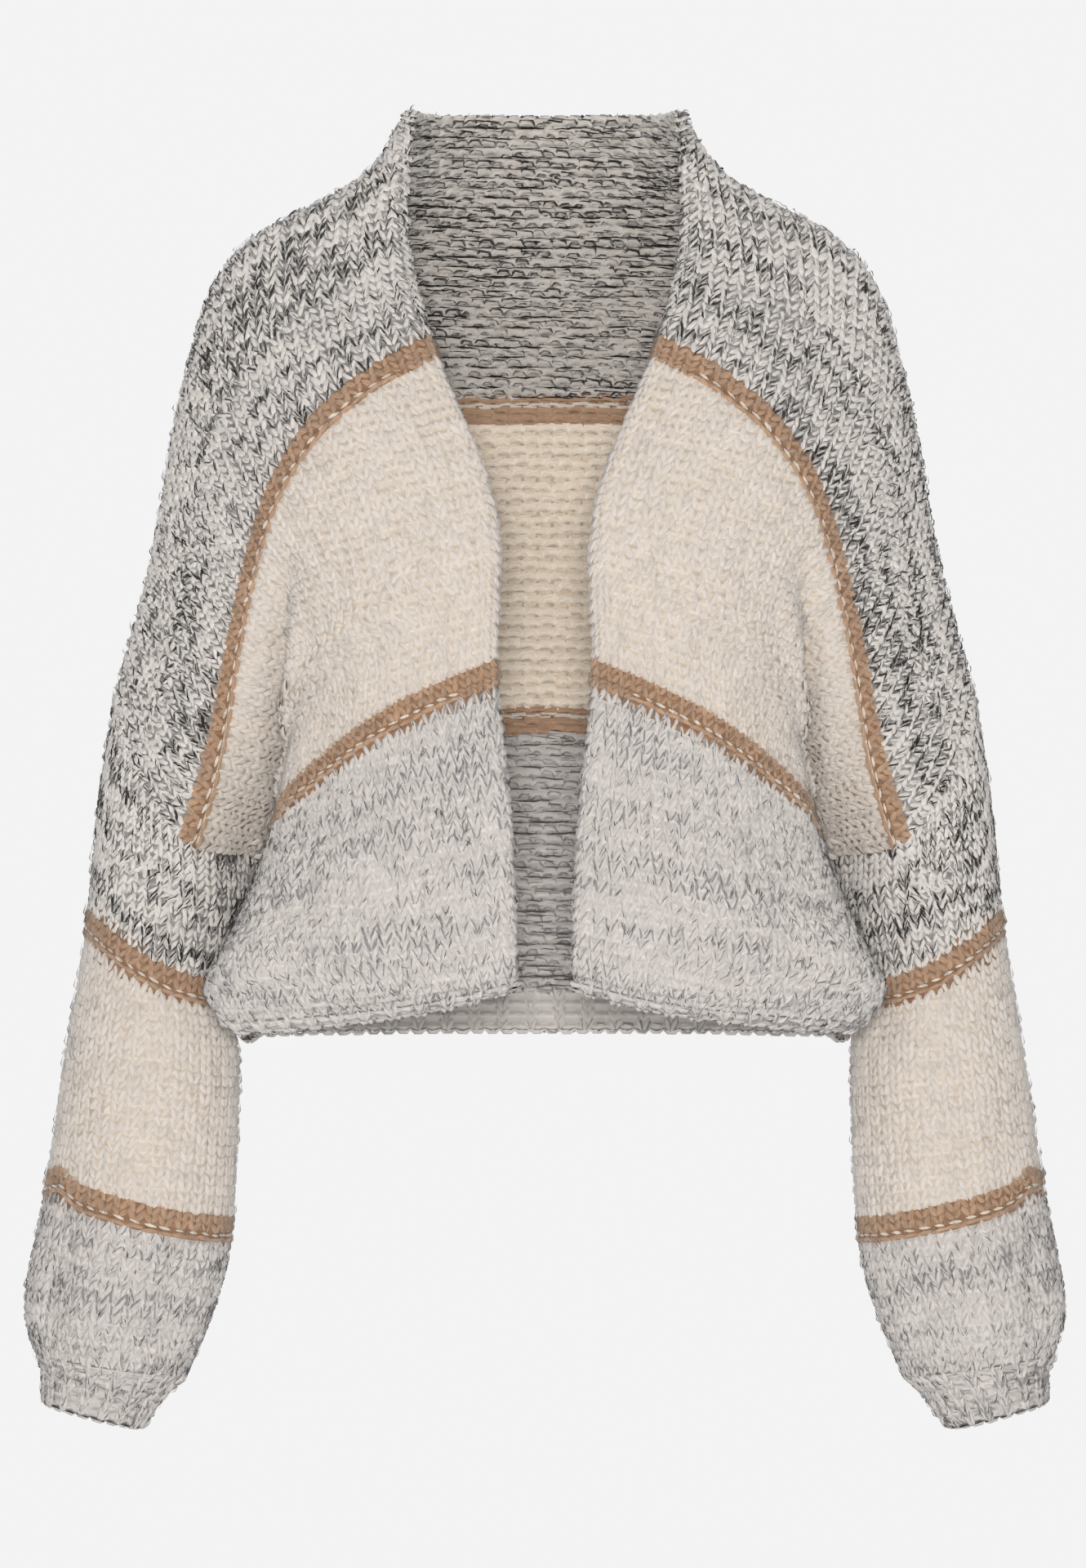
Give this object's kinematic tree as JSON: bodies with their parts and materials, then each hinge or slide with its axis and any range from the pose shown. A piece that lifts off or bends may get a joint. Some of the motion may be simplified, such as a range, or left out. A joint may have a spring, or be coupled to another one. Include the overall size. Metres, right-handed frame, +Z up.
{
  "type": "open-front knit cardigan",
  "caption": "Cropped open-front chunky knit cardigan with dropped shoulders, balloon sleeves, ribbed cuffs and hem, in marl, cream and camel colour blocks.",
  "frame": {"origin": "between the shoulder slopes, level with the base of the neck, where the wearer's shoulders hold the garment", "axes": "+Z up, the open front faces -Y, +X towards the right of the picture"},
  "size_m": [0.593, 0.25, 0.7545],
  "materials": {
    "dark_marl_wool": "fuzzy",
    "light_marl_wool": "fuzzy",
    "cream_wool": "fuzzy",
    "camel_wool": "fuzzy"
  },
  "bodies": {
    "root": {"back": "dark_marl_wool", "front_left": "cream_wool", "front_right": "cream_wool", "sleeve_left": "cream_wool", "sleeve_right": "cream_wool", "cuff_left": "light_marl_wool", "cuff_right": "light_marl_wool", "hem_band_back": "light_marl_wool", "hem_band_left": "light_marl_wool", "hem_band_right": "light_marl_wool"}
  },
  "joints": []
}
